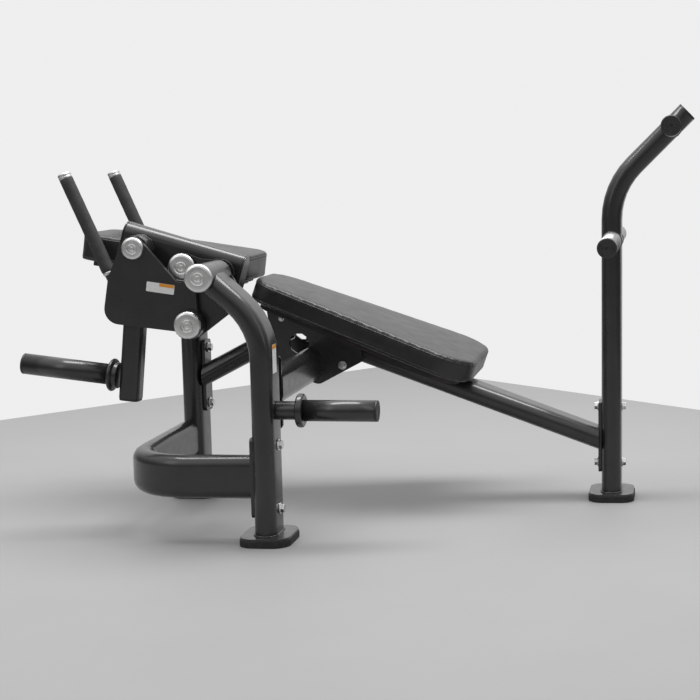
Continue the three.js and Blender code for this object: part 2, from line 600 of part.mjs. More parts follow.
// ---- Rocker -------------------------------------------------------------------------------------
function buildRocker() {
  const [bX, bZ] = PIVOT.B;
  const [cX, cZ] = PIVOT.C;
  const waistR = 56;
  const waistReach = 80;
  const span = Math.hypot(cX - bX, cZ - bZ);
  const [normalX, normalZ] = [(bZ - cZ) / span, (cX - bX) / span];
  const [middleX, middleZ] = [(bX + cX) / 2, (bZ + cZ) / 2];
  const waist = (side) => {
    const reach = side * waistReach;
    return [middleX + reach * normalX, middleZ + reach * normalZ, -waistR];
  };
  const outline = belt([[bX, bZ, 32], waist(-1), [cX, cZ, 30], waist(1)]);
  const pinEye = alongY(round(PIN_R + LOOP_CLEARANCE), PIVOT.B, -390, -350, 12);
  const link = cut(sheet(outline, LAYER.rocker, 4), pinEye);
  const shaft = alongY(round(SHAFT_R), PIVOT.C, LAYER.hub.front - 3, LAYER.rocker.front + 4, 6);
  add("rocker_link", join(link, shaft), FRAME_PAINT);
  const capBack = LAYER.hub.front - 3 - GAP;
  pivotCap("hub_pivot_cap", PIVOT.C, CAP.large, capBack, 6, capBack + 0.1);
}

buildSideLeg();
buildPivotGusset();
buildCentreLeg();
buildRearPost();
buildFootPegs();
buildBaseBar();
buildCheeks(buildSpine());
buildFrontStrut();
buildCrossTube();
buildStorageHorn();
buildLever();
buildCarrier();
buildHeadPad();
buildRocker();

export default machine;
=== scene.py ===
import json
import math

import bmesh
import bpy
import numpy as np
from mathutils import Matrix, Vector
from mathutils.bvhtree import BVHTree

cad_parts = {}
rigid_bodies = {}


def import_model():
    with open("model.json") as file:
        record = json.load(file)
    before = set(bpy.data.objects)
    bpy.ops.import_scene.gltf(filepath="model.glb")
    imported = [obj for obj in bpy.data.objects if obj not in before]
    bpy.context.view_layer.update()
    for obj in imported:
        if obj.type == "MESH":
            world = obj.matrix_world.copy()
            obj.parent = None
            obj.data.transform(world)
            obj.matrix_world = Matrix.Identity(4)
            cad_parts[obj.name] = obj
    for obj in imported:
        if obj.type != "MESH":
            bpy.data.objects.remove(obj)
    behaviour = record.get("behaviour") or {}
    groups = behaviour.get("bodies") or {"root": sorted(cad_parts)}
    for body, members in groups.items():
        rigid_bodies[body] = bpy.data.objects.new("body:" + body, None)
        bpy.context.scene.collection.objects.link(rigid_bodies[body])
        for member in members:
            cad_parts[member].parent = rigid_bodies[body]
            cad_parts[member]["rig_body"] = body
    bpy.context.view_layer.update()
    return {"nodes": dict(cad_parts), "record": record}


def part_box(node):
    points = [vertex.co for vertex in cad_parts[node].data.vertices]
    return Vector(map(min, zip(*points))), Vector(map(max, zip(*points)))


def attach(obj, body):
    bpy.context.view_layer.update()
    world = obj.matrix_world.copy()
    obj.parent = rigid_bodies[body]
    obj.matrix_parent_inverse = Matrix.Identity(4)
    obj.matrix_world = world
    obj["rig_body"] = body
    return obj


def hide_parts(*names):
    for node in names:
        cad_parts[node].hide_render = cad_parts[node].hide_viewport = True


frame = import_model()
NODES = frame["nodes"]
MM = 0.001

SLOT_OF = {
    part["node"]: part["material_slot"]
    for part in frame["record"]["subparts"]
    if "node" in part
}


# ---- Materials -----------------------------------------------------------------------------------
class Finish:
    """A Principled material with colour, roughness and bump from procedural textures in object space."""

    def __init__(self, name, colour, roughness, metallic=0.0, **inputs):
        self.material = bpy.data.materials.new(name)
        self.material.use_nodes = True
        self.tree = self.material.node_tree
        self.shader = self.tree.nodes["Principled BSDF"]
        self.shader.inputs["Base Color"].default_value = (*colour, 1.0)
        self.shader.inputs["Roughness"].default_value = roughness
        self.shader.inputs["Metallic"].default_value = metallic
        for key, value in inputs.items():
            self.shader.inputs[key.replace("_", " ")].default_value = value
        self.place = self.node("ShaderNodeTexCoord").outputs["Object"]
        self.normal = None

    def node(self, kind, **settings):
        made = self.tree.nodes.new(kind)
        for key, value in settings.items():
            setattr(made, key, value)
        return made

    def link(self, output, target):
        self.tree.links.new(output, target)

    def stretched(self, scale):
        """Object coordinates scaled per axis, so that a grain runs along one direction."""
        mapping = self.node("ShaderNodeMapping")
        mapping.inputs["Scale"].default_value = scale
        self.link(self.place, mapping.inputs["Vector"])
        return mapping.outputs["Vector"]

    def noise(self, scale, detail=3.0, rough=0.55, place=None):
        texture = self.node("ShaderNodeTexNoise")
        texture.inputs["Scale"].default_value = scale
        texture.inputs["Detail"].default_value = detail
        texture.inputs["Roughness"].default_value = rough
        self.link(place or self.place, texture.inputs["Vector"])
        return texture.outputs["Fac"]

    def cells(self, scale, feature="F1"):
        texture = self.node("ShaderNodeTexVoronoi", feature=feature)
        texture.inputs["Scale"].default_value = scale
        self.link(self.place, texture.inputs["Vector"])
        return texture.outputs["Distance"]

    def remap(self, value, low, high, source=(0.3, 0.7)):
        ramp = self.node("ShaderNodeMapRange")
        ramp.inputs["From Min"].default_value, ramp.inputs["From Max"].default_value = source
        ramp.inputs["To Min"].default_value, ramp.inputs["To Max"].default_value = low, high
        self.link(value, ramp.inputs["Value"])
        return ramp.outputs["Result"]

    def vary_roughness(self, value, low, high):
        self.link(self.remap(value, low, high), self.shader.inputs["Roughness"])

    def vary_colour(self, value, dark, light, source=(0.3, 0.7)):
        mix = self.node("ShaderNodeMix", data_type="RGBA")
        mix.inputs[6].default_value = (*dark, 1.0)
        mix.inputs[7].default_value = (*light, 1.0)
        self.link(self.remap(value, 0.0, 1.0, source), mix.inputs[0])
        self.link(mix.outputs[2], self.shader.inputs["Base Color"])
        return mix

    def tint_over(self, below, mask, colour):
        """Mixes a colour over an existing colour node where the mask is 1."""
        mix = self.node("ShaderNodeMix", data_type="RGBA")
        self.link(below.outputs[2], mix.inputs[6])
        mix.inputs[7].default_value = (*colour, 1.0)
        self.link(mask, mix.inputs[0])
        self.link(mix.outputs[2], self.shader.inputs["Base Color"])
        return mix

    def bump(self, value, strength, distance):
        bump = self.node("ShaderNodeBump")
        bump.inputs["Strength"].default_value = strength
        bump.inputs["Distance"].default_value = distance
        self.link(value, bump.inputs["Height"])
        if self.normal:
            self.link(self.normal, bump.inputs["Normal"])
        self.normal = bump.outputs["Normal"]
        self.link(self.normal, self.shader.inputs["Normal"])

    def edge_mask(self, radius, gain):
        """1 along outer edges, from the angle between the true normal and a rounded one."""
        soft = self.node("ShaderNodeBevel", samples=4)
        soft.inputs["Radius"].default_value = radius
        true = self.node("ShaderNodeNewGeometry")
        dot = self.node("ShaderNodeVectorMath", operation="DOT_PRODUCT")
        self.link(soft.outputs["Normal"], dot.inputs[0])
        self.link(true.outputs["Normal"], dot.inputs[1])
        return self.remap(dot.outputs["Value"], gain, 0.0, source=(0.75, 0.97))


def painted_metal():
    """Satin black powder coat: orange peel, a faintly varying tone and slightly worn edges."""
    finish = Finish("powder_coat_black", (0.014, 0.014, 0.015), 0.3, Coat_Weight=0.4, Coat_Roughness=0.14)
    colour = finish.vary_colour(finish.noise(14), (0.012, 0.012, 0.013), (0.019, 0.019, 0.02))
    finish.tint_over(colour, finish.edge_mask(0.0016, 0.3), (0.07, 0.07, 0.073))
    finish.vary_roughness(finish.noise(38, 5), 0.26, 0.36)
    finish.bump(finish.noise(950, 2), 0.1, 0.0001)
    finish.bump(finish.noise(70, 2), 0.03, 0.0006)
    return finish.material


def polished_steel():
    """Turned and polished pivot hardware with light smears."""
    finish = Finish("polished_steel", (0.74, 0.74, 0.73), 0.3, 1.0)
    finish.vary_colour(finish.noise(24, 2), (0.7, 0.7, 0.69), (0.78, 0.78, 0.77))
    finish.vary_roughness(finish.noise(40, 3), 0.26, 0.36)
    finish.bump(finish.noise(1500, 2), 0.02, 0.00003)
    return finish.material


def peg_tube():
    """Silver painted tube of the foot pegs, brushed along its length."""
    finish = Finish("peg_tube_silver", (0.5, 0.5, 0.5), 0.38, 0.75)
    along = finish.stretched((260, 6, 260))
    finish.vary_colour(finish.noise(1, 4, place=along), (0.3, 0.3, 0.3), (0.4, 0.4, 0.4))
    finish.vary_roughness(finish.noise(45, 4), 0.3, 0.46)
    finish.bump(finish.noise(1, 3, place=along), 0.1, 0.0001)
    return finish.material


def foot_rubber():
    """Moulded rubber of the feet: matt, its tone varying a little at random."""
    finish = Finish("foot_rubber", (0.012, 0.012, 0.012), 0.82)
    finish.vary_colour(finish.noise(90, 5), (0.009, 0.009, 0.009), (0.022, 0.022, 0.021))
    finish.vary_roughness(finish.noise(120, 3), 0.74, 0.9)
    finish.bump(finish.cells(900), 0.25, 0.0002)
    return finish.material


def grip_rubber():
    """Closed-cell foam of the handle grips, with fine pores."""
    finish = Finish("grip_foam", (0.034, 0.034, 0.035), 0.72)
    finish.vary_colour(finish.noise(45, 4), (0.026, 0.026, 0.027), (0.044, 0.044, 0.045))
    finish.vary_roughness(finish.noise(200, 4), 0.62, 0.8)
    finish.bump(finish.cells(1100), 0.35, 0.00025)
    finish.bump(finish.noise(220, 3), 0.15, 0.0004)
    return finish.material


def pad_leather():
    """Black synthetic leather: pebble grain, soft wrinkles and a sheen on the worn parts."""
    finish = Finish("pad_leather_black", (0.012, 0.012, 0.013), 0.38, Coat_Weight=0.15, Coat_Roughness=0.3)
    finish.vary_colour(finish.noise(18, 4), (0.009, 0.009, 0.01), (0.016, 0.016, 0.017))
    finish.vary_roughness(finish.noise(26, 5), 0.33, 0.45)
    finish.bump(finish.cells(620), 0.22, 0.00025)
    finish.bump(finish.noise(1400, 2), 0.12, 0.0001)
    finish.bump(finish.noise(34, 3), 0.08, 0.0010)
    return finish.material


def moulded_plastic():
    """Black moulded caps and plugs with a fine spark-eroded texture."""
    finish = Finish("moulded_plastic", (0.02, 0.02, 0.021), 0.5)
    finish.vary_colour(finish.noise(60, 3), (0.017, 0.017, 0.018), (0.03, 0.03, 0.031))
    finish.vary_roughness(finish.noise(240, 3), 0.42, 0.6)
    finish.bump(finish.noise(1800, 2), 0.2, 0.00012)
    return finish.material


def pad_board():
    """Black-stained plywood under the pads, its grain along X."""
    finish = Finish("stained_plywood", (0.03, 0.027, 0.025), 0.7)
    grain = finish.stretched((6, 90, 90))
    finish.vary_colour(finish.noise(1, 6, place=grain), (0.018, 0.016, 0.015), (0.05, 0.045, 0.04))
    finish.vary_roughness(finish.noise(2, 4, place=grain), 0.6, 0.8)
    finish.bump(finish.noise(1, 6, place=grain), 0.3, 0.0004)
    return finish.material


def thread():
    """Waxed upholstery thread, a little lighter than the leather, with its twist."""
    finish = Finish("stitch_thread", (0.045, 0.045, 0.047), 0.55)
    finish.vary_colour(finish.noise(500, 2), (0.035, 0.035, 0.037), (0.06, 0.06, 0.062))
    finish.vary_roughness(finish.noise(900, 2), 0.48, 0.65)
    finish.bump(finish.noise(2500, 2), 0.3, 0.0001)
    return finish.material


def label(name, colour):
    """A blank printed film label."""
    finish = Finish(name, colour, 0.3)
    finish.vary_colour(finish.noise(120, 3), tuple(0.93 * c for c in colour), colour)
    finish.vary_roughness(finish.noise(150, 3), 0.25, 0.38)
    finish.bump(finish.noise(300, 2), 0.05, 0.0002)
    return finish.material


MATERIALS = {
    "frame_paint": painted_metal(),
    "polished_steel": polished_steel(),
    "peg_tube": peg_tube(),
    "foot_rubber": foot_rubber(),
    "grip_rubber": grip_rubber(),
    "pad_leather": pad_leather(),
    "moulded_plastic": moulded_plastic(),
    "pad_board": pad_board(),
}
THREAD = thread()
LABEL_WHITE = label("label_white", (0.78, 0.78, 0.77))
LABEL_ORANGE = label("label_orange", (0.75, 0.3, 0.03))


# ---- Meshes --------------------------------------------------------------------------------------
def paint(piece, material):
    piece.data.materials.clear()
    piece.data.materials.append(material)


def mesh_piece(name, points, faces, material, smooth=True):
    mesh = bpy.data.meshes.new(name)
    mesh.from_pydata([tuple(point) for point in points], [], faces)
    shape = bmesh.new()
    shape.from_mesh(mesh)
    bmesh.ops.recalc_face_normals(shape, faces=shape.faces)
    shape.to_mesh(mesh)
    shape.free()
    mesh.polygons.foreach_set("use_smooth", [smooth] * len(mesh.polygons))
    piece = bpy.data.objects.new(name, mesh)
    bpy.context.scene.collection.objects.link(piece)
    paint(piece, material)
    return piece


def round_edges(piece, width, angle=38, segments=3):
    """Rolls the sharp edges of a hard piece and shades the rest smooth; the mesh itself stays as it is."""
    piece.data.polygons.foreach_set("use_smooth", [True] * len(piece.data.polygons))
    piece.modifiers.new("weld", "WELD").merge_threshold = 0.02 * MM
    bevel = piece.modifiers.new("bevel", "BEVEL")
    bevel.width = width
    bevel.segments = segments
    bevel.limit_method = "ANGLE"
    bevel.angle_limit = math.radians(angle)
    bevel.use_clamp_overlap = True
    bevel.harden_normals = True
    piece.modifiers.new("normals", "WEIGHTED_NORMAL").keep_sharp = True


def basis(direction):
    """Two unit vectors square to a direction and to each other."""
    direction = Vector(direction).normalized()
    side = direction.cross(Vector((0, 0, 1)))
    if side.length < 0.1:
        side = direction.cross(Vector((0, 1, 0)))
    side.normalize()
    return side, direction.cross(side)


def fillet(profile, radius, steps=3):
    """Rounds the inner corners of an open (radius, height) profile."""
    rounded = [Vector(profile[0])]
    for before, corner, after in zip(profile, profile[1:], profile[2:]):
        corner = Vector(corner)
        back = Vector(before) - corner
        on = Vector(after) - corner
        cut = min(radius, 0.45 * back.length, 0.45 * on.length)
        start = corner + back.normalized() * cut
        end = corner + on.normalized() * cut
        for step in range(steps + 1):
            t = step / steps
            rounded.append((1 - t) ** 2 * start + 2 * t * (1 - t) * corner + t * t * end)
    rounded.append(Vector(profile[-1]))
    return rounded


def lathe(name, profile, origin, direction, material, segments=64):
    """A closed turned piece; its (radius, height) profile ends on the axis or closes on itself."""
    origin = Vector(origin)
    direction = Vector(direction).normalized()
    side, other = basis(direction)
    points, rings = [], []
    for radius, height in profile:
        centre = origin + height * direction
        if radius < 1e-7:
            rings.append([len(points)] * segments)
            points.append(centre)
            continue
        rings.append(list(range(len(points), len(points) + segments)))
        for k in range(segments):
            turn = 2 * math.pi * k / segments
            points.append(centre + radius * (math.cos(turn) * side + math.sin(turn) * other))
    pairs = list(zip(rings, rings[1:]))
    if profile[0][0] > 1e-7:
        pairs.append((rings[-1], rings[0]))
    faces = []
    for low, high in pairs:
        for k in range(segments):
            corners = [low[k], low[(k + 1) % segments], high[(k + 1) % segments], high[k]]
            face = list(dict.fromkeys(corners))
            if len(face) > 2:
                faces.append(face)
    return mesh_piece(name, points, faces, material)


def tube_along(name, path, radii, material, closed=True, sides=10):
    """A round cord along a list of points; radii may differ from point to point."""
    count = len(path)
    points = []
    for i, point in enumerate(path):
        before = path[(i - 1) % count] if closed or i else path[i]
        after = path[(i + 1) % count] if closed or i < count - 1 else path[i]
        side, other = basis(after - before)
        radius = radii[i] if isinstance(radii, list) else radii
        for k in range(sides):
            turn = 2 * math.pi * k / sides
            points.append(point + radius * (math.cos(turn) * side + math.sin(turn) * other))
    faces = []
    for i in range(count if closed else count - 1):
        a, b = i * sides, (i + 1) % count * sides
        for k in range(sides):
            n = (k + 1) % sides
            faces.append([a + k, a + n, b + n, b + k])
    if not closed:
        faces.append(list(range(sides)))
        faces.append(list(range((count - 1) * sides, count * sides)))
    return mesh_piece(name, points, faces, material)


def corners_of(node):
    return [vertex.co.copy() for vertex in NODES[node].data.vertices]


def long_axis(node):
    """(centre, direction) of a node's longest spread."""
    points = np.array(corners_of(node))
    centre = (points.max(0) + points.min(0)) / 2
    _, vectors = np.linalg.eigh(np.cov((points - centre).T))
    return Vector(centre), Vector(vectors[:, -1])


def reach(node, origin, direction):
    """(lowest, highest, widest) of a node: its heights along an axis and its largest distance from it."""
    heights = [(point - origin).dot(direction) for point in corners_of(node)]
    offsets = [point - origin for point in corners_of(node)]
    widths = [(offset - offset.dot(direction) * direction).length for offset in offsets]
    return min(heights), max(heights), max(widths)


def stand_in(piece, *nodes):
    """The piece rides with and replaces these CAD nodes."""
    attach(piece, NODES[nodes[0]]["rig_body"])
    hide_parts(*nodes)
    return piece


def extra(piece, body):
    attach(piece, body)
    return piece


# ---- Carried-over CAD nodes ----------------------------------------------------------------------
def dress_frame():
    """Finishes every CAD node: rolled edges and the material of its slot."""
    edge = {"frame_paint": 1.2 * MM, "foot_rubber": 2.0 * MM, "moulded_plastic": 1.0 * MM}
    for name, node in NODES.items():
        paint(node, MATERIALS[SLOT_OF[name]])
        if node.data.has_custom_normals:
            bpy.context.view_layer.objects.active = node
            bpy.ops.mesh.customdata_custom_splitnormals_clear()
        round_edges(node, edge.get(SLOT_OF[name], 0.6 * MM))


# ---- Turned fittings -----------------------------------------------------------------------------
def pivot_cap(node):
    """A domed cap on its pin: a ring groove, a raised ring and a small button in the centre."""
    low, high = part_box(node)
    centre = Vector(((low.x + high.x) / 2, high.y, (low.z + high.z) / 2))
    r = (high.x - low.x) / 2
    face = high.y - low.y
    depth = 9 * MM
    back = face - depth
    shank = 10 * MM if back > 1 * MM else 0.0
    pin = [(0, 0), (shank, 0), (shank, back)] if shank else [(0, 0)]
    floor = face - 1.8 * MM
    shoulder = (0.95 * r, back + 0.75 * depth)
    rim = [(r, back), (r, back + 0.45 * depth), shoulder, (0.8 * r, back + 0.93 * depth)]
    groove = [(0.5 * r, face), (0.46 * r, floor), (0.40 * r, floor), (0.36 * r, face - 0.3 * MM)]
    recess = [(0.24 * r, face - 0.2 * MM), (0.21 * r, floor), (0.17 * r, floor)]
    screw = [(0.14 * r, face - 0.5 * MM), (0, face - 0.3 * MM)]
    profile = fillet(pin + rim + groove + recess + screw, 0.7 * MM)
    stand_in(lathe(node + "_turned", profile, centre, (0, -1, 0), MATERIALS["polished_steel"], 96), node)


def peg_cap(node, sign):
    """A moulded end cap with concentric rings round a small centre hole."""
    low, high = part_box(node)
    r = (high.x - low.x) / 2
    inner = low.y if sign > 0 else high.y
    centre = Vector(((low.x + high.x) / 2, inner, (low.z + high.z) / 2))
    top = high.y - low.y
    profile = [(0, 0), (r, 0), (r, top - 2 * MM), (0.93 * r, top)]
    for ring in (0.8, 0.62, 0.44):
        profile += [
            (ring * r, top),
            ((ring - 0.03) * r, top - 0.9 * MM),
            ((ring - 0.07) * r, top - 0.9 * MM),
            ((ring - 0.1) * r, top),
        ]
    profile += [(0.16 * r, top), (0.13 * r, top - 2.5 * MM), (0, top - 2.5 * MM)]
    plastic = MATERIALS["moulded_plastic"]
    stand_in(lathe(node + "_moulded", fillet(profile, 0.6 * MM), centre, (0, sign, 0), plastic, 72), node)


def peg(node):
    """The peg tube itself; the weld beads against each side of the post are made in welds()."""
    low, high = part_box(node)
    r = (high.x - low.x) / 2
    centre = Vector(((low.x + high.x) / 2, 0, (low.z + high.z) / 2))
    profile = [(r - 3 * MM, low.y), (r, low.y), (r, high.y), (r - 3 * MM, high.y)]
    stand_in(lathe(node + "_tube", profile, centre, (0, 1, 0), MATERIALS["peg_tube"], 72), node)


def tip_cap(node, origin, direction, material):
    low, high, r = reach(node, origin, direction)
    dish = high - 0.6 * MM
    profile = [(0, low), (r, low), (r, high), (0.55 * r, high + 0.3 * MM), (0.5 * r, dish), (0, dish)]
    stand_in(lathe(node + "_disc", fillet(profile, 1.2 * MM), origin, direction, material), node)


def horn(kind):
    """A plate horn: stepped collar with rolled rims, sleeve and end disc, turned about the sleeve's axis."""
    sleeve = kind + "_horn_sleeve"
    collar = kind + "_horn_collar"
    cap = kind + "_horn_cap"
    origin, direction = long_axis(sleeve)
    if (corners_of(cap)[0] - origin).dot(direction) < 0:
        direction = -direction
    low, high, r = reach(sleeve, origin, direction)
    profile = [(r - 3.5 * MM, low), (r, low), (r, high), (r - 3.5 * MM, high)]
    paint_black = MATERIALS["frame_paint"]
    stand_in(lathe(sleeve + "_tube", profile, origin, direction, paint_black, 80), sleeve)
    tip_cap(cap, origin, direction, MATERIALS["moulded_plastic"])

    start, end, rim = reach(collar, origin, direction)
    plate = 15 * MM if kind == "storage" else 10 * MM
    neck = 21 * MM if kind == "storage" else 30 * MM
    shape = [
        (0, start), (neck, start), (neck, end - plate),
        (rim - 3 * MM, end - plate), (rim, end - plate + 3 * MM), (rim, end - 3 * MM), (rim - 3 * MM, end),
        (r + 2 * MM, end), (r + 1 * MM, end - 1 * MM), (0, end - 1 * MM),
    ]
    stand_in(lathe(collar + "_turned", fillet(shape, 1.5 * MM), origin, direction, paint_black, 80), collar)


def handle(side):
    """Foam grip with rolled ends, chrome end cap and chrome collar, on the axis of the grip."""
    grip = "handle_grip_" + side
    origin, direction = long_axis(grip)
    if direction.z < 0:
        direction = -direction
    low, high, r = reach(grip, origin, direction)
    bore = r - 3.2 * MM
    profile = [(bore, low), (r - 0.5 * MM, low), (r, low + 2 * MM)]
    for i in range(1, 24):
        height = low + (high - low) * i / 24
        profile.append((r + 0.15 * MM * math.sin(1.9 * i), height))
    profile += [(r, high - 2 * MM), (r - 0.5 * MM, high), (bore, high)]
    stand_in(lathe(grip + "_foam", profile, origin, direction, MATERIALS["grip_rubber"], 64), grip)

    cap = "handle_cap_" + side
    low, high, r = reach(cap, origin, direction)
    profile = [
        (0, high - 11 * MM), (bore - 0.4 * MM, high - 11 * MM), (bore - 0.4 * MM, low),
        (r, low), (r, high - 9.5 * MM), (r - 0.8 * MM, high - 9 * MM), (r - 0.8 * MM, high - 8.2 * MM),
        (r, high - 7.5 * MM), (r, high - 3 * MM), (0.8 * r, high), (0, high),
    ]
    chrome = MATERIALS["polished_steel"]
    stand_in(lathe(cap + "_chrome", fillet(profile, 0.8 * MM), origin, direction, chrome), cap)

    collar = "handle_collar_" + side
    low, high, r = reach(collar, origin, direction)
    bevel = 1 * MM
    profile = [
        (bore, low), (r - bevel, low), (r, low + bevel), (r, high - bevel), (r - bevel, high), (bore, high),
    ]
    stand_in(lathe(collar + "_chrome", profile, origin, direction, chrome), collar)


def turned_fittings():
    for node in ("lever_pivot_pin", "carrier_pivot_pin", "rocker_pivot_pin", "hub_pivot_cap"):
        pivot_cap(node)
    for level in ("upper", "lower"):
        peg(level + "_peg")
        peg_cap(level + "_peg_cap_near", -1)
        peg_cap(level + "_peg_cap_far", 1)
    for kind in ("storage", "weight"):
        horn(kind)
    for side in ("near", "far"):
        handle(side)


# ---- Bolts and welds -----------------------------------------------------------------------------
def hex_bolt(name, place, outward, body, r=9 * MM):
    """A washer with a domed hexagon head, standing off a face."""
    place = Vector(place)
    outward = Vector(outward).normalized()
    washer = [(0, 0), (1.35 * r, 0), (1.35 * r, 1.8 * MM), (0, 1.8 * MM)]
    extra(
        lathe(name + "_washer", fillet(washer, 0.4 * MM), place, outward, MATERIALS["polished_steel"], 40),
        body,
    )
    head = [(0, 1.8 * MM), (r, 1.8 * MM), (r, 7.5 * MM), (0.8 * r, 9 * MM), (0, 9.4 * MM)]
    piece = lathe(name + "_head", head, place, outward, MATERIALS["polished_steel"], 6)
    round_edges(piece, 0.5 * MM, 25)
    extra(piece, body)


def cheek_bolts():
    """Two bolt heads on each cheek plate: one low beside the cross tube, one high near the spine's end."""
    low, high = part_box("spine_cheek_near")
    spots = {
        "lower": (low.x + 0.78 * (high.x - low.x), low.z + 0.25 * (high.z - low.z)),
        "upper": (low.x + 0.15 * (high.x - low.x), high.z - 24 * MM),
    }
    for level, (x, z) in spots.items():
        for side, node, face in (("near", "spine_cheek_near", 0), ("far", "spine_cheek_far", 1)):
            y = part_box(node)[face].y
            outward = (0, -1 if face == 0 else 1, 0)
            size = 8 * MM if level == "lower" else 5.5 * MM
            hex_bolt("cheek_bolt_%s_%s" % (level, side), (x, y, z), outward, "frame", size)


def weld_bead(name, outline, body, r=2.6 * MM):
    """A rippled bead along a closed list of points."""
    radii = [r * (1 + 0.14 * math.sin(i * 2.1)) for i in range(len(outline))]
    extra(tube_along(name, outline, radii, MATERIALS["frame_paint"], sides=8), body)


def oval_ring(centre, half_thick, half_wide, u, v, count=96):
    """Points round a flat oval whose thin side lies along u and wide side along v."""
    straight = half_wide - half_thick
    ring = []
    for i in range(count):
        turn = 2 * math.pi * i / count
        offset = straight if math.sin(turn) >= 0 else -straight
        ring.append(centre + half_thick * math.cos(turn) * u + (half_thick * math.sin(turn) + offset) * v)
    return ring


def welds():
    x_axis, y_axis, z_axis = Vector((1, 0, 0)), Vector((0, 1, 0)), Vector((0, 0, 1))
    for leg in ("side", "centre", "rear"):
        low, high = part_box(leg + "_foot_rubber")
        plate_top = high.z + 6.8 * MM
        centre = Vector(((low.x + high.x) / 2, (low.y + high.y) / 2, plate_top))
        weld_bead(leg + "_foot_weld", oval_ring(centre, 25.5 * MM, 50.5 * MM, x_axis, y_axis), "frame")
    for level in ("upper", "lower"):
        low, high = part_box(level + "_peg")
        r = (high.x - low.x) / 2
        for side, y in (("near", -1), ("far", 1)):
            centre = Vector(((low.x + high.x) / 2, y * 50 * MM, (low.z + high.z) / 2))
            ring = oval_ring(centre, r, r, x_axis, z_axis, 60)
            weld_bead("%s_peg_weld_%s" % (level, side), ring, "frame", 2.2 * MM)


# ---- Upholstery ----------------------------------------------------------------------------------
class PadFrame:
    """A pad's own axes: u along it, v across it, n square to its face, with heights from its lower face."""

    def __init__(self, node):
        mesh = NODES[node].data
        top = max(mesh.polygons, key=lambda face: face.area * (face.normal.z > 0.5))
        self.n = top.normal.copy()
        self.v = Vector((0, 1, 0))
        self.u = self.v.cross(self.n).normalized()
        points = corners_of(node)
        heights = [point.dot(self.n) for point in points]
        self.low, self.high = min(heights), max(heights)
        self.outline = [point for point, height in zip(points, heights) if height > self.high - 1e-5]
        middle = sum(self.outline, Vector()) / len(self.outline)
        self.centre = middle - self.n * (middle.dot(self.n) - self.low)

    def loop(self, spacing):
        """The pad's outline as evenly spaced (point, outward) pairs at the height of its lower face."""
        flat = []
        for point in self.outline:
            offset = point - self.centre
            u, v = offset.dot(self.u), offset.dot(self.v)
            flat.append((math.atan2(v, u), u, v))
        flat.sort()
        ring = [Vector((u, v)) for turn, u, v in flat]
        ring = [p for i, p in enumerate(ring) if (p - ring[i - 1]).length > 1e-5]
        samples = []
        for i, start in enumerate(ring):
            end = ring[(i + 1) % len(ring)]
            steps = max(1, round((end - start).length / spacing))
            samples += [start.lerp(end, k / steps) for k in range(steps)]
        pairs = []
        for i, sample in enumerate(samples):
            ahead = samples[(i + 1) % len(samples)] - samples[i - 1]
            outward = Vector((ahead.y, -ahead.x)).normalized()
            place = self.centre + sample.x * self.u + sample.y * self.v
            pairs.append((place, outward.x * self.u + outward.y * self.v))
        return pairs


def spread(moved, mesh, passes):
    """Averages a displacement field over neighbouring points, so that it holds no wrinkles."""
    ends = np.array([edge.vertices for edge in mesh.edges])
    links = np.bincount(ends.ravel(), minlength=len(moved))[:, None]
    for _ in range(passes):
        total = np.zeros_like(moved)
        for axis in range(3):
            total[:, axis] = np.bincount(ends[:, 0], moved[ends[:, 1], axis], len(moved))
            total[:, axis] += np.bincount(ends[:, 1], moved[ends[:, 0], axis], len(moved))
        moved = 0.4 * moved + 0.6 * total / links
    return moved


def swell(piece, pad, cap):
    """Inflates a remeshed pad with the cloth solver, then smooths the swelling and keeps the base flat."""
    rest = np.array([vertex.co for vertex in piece.data.vertices])
    cloth = piece.modifiers.new("cloth", "CLOTH")
    cloth.settings.quality = 5
    cloth.settings.mass = 0.3
    cloth.settings.tension_stiffness = 18
    cloth.settings.compression_stiffness = 18
    cloth.settings.use_pressure = True
    cloth.settings.uniform_pressure_force = 4
    cloth.settings.effector_weights.gravity = 0
    cloth.collision_settings.use_collision = False
    for frame_number in range(1, 21):
        bpy.context.scene.frame_set(frame_number)
    graph = bpy.context.evaluated_depsgraph_get()
    swollen = np.array([vertex.co for vertex in piece.evaluated_get(graph).data.vertices])
    piece.modifiers.remove(cloth)
    bpy.context.scene.frame_set(1)

    moved = spread(swollen - rest, piece.data, passes=60)
    far = np.linalg.norm(moved, axis=1, keepdims=True)
    moved *= cap / far.max()
    heights = rest @ np.array(pad.n) - pad.low
    share = np.clip(heights / (20 * MM), 0.0, 1.0)[:, None]
    settled = rest + moved * share
    piece.data.vertices.foreach_set("co", settled.astype(np.float32).ravel())
    piece.data.update()


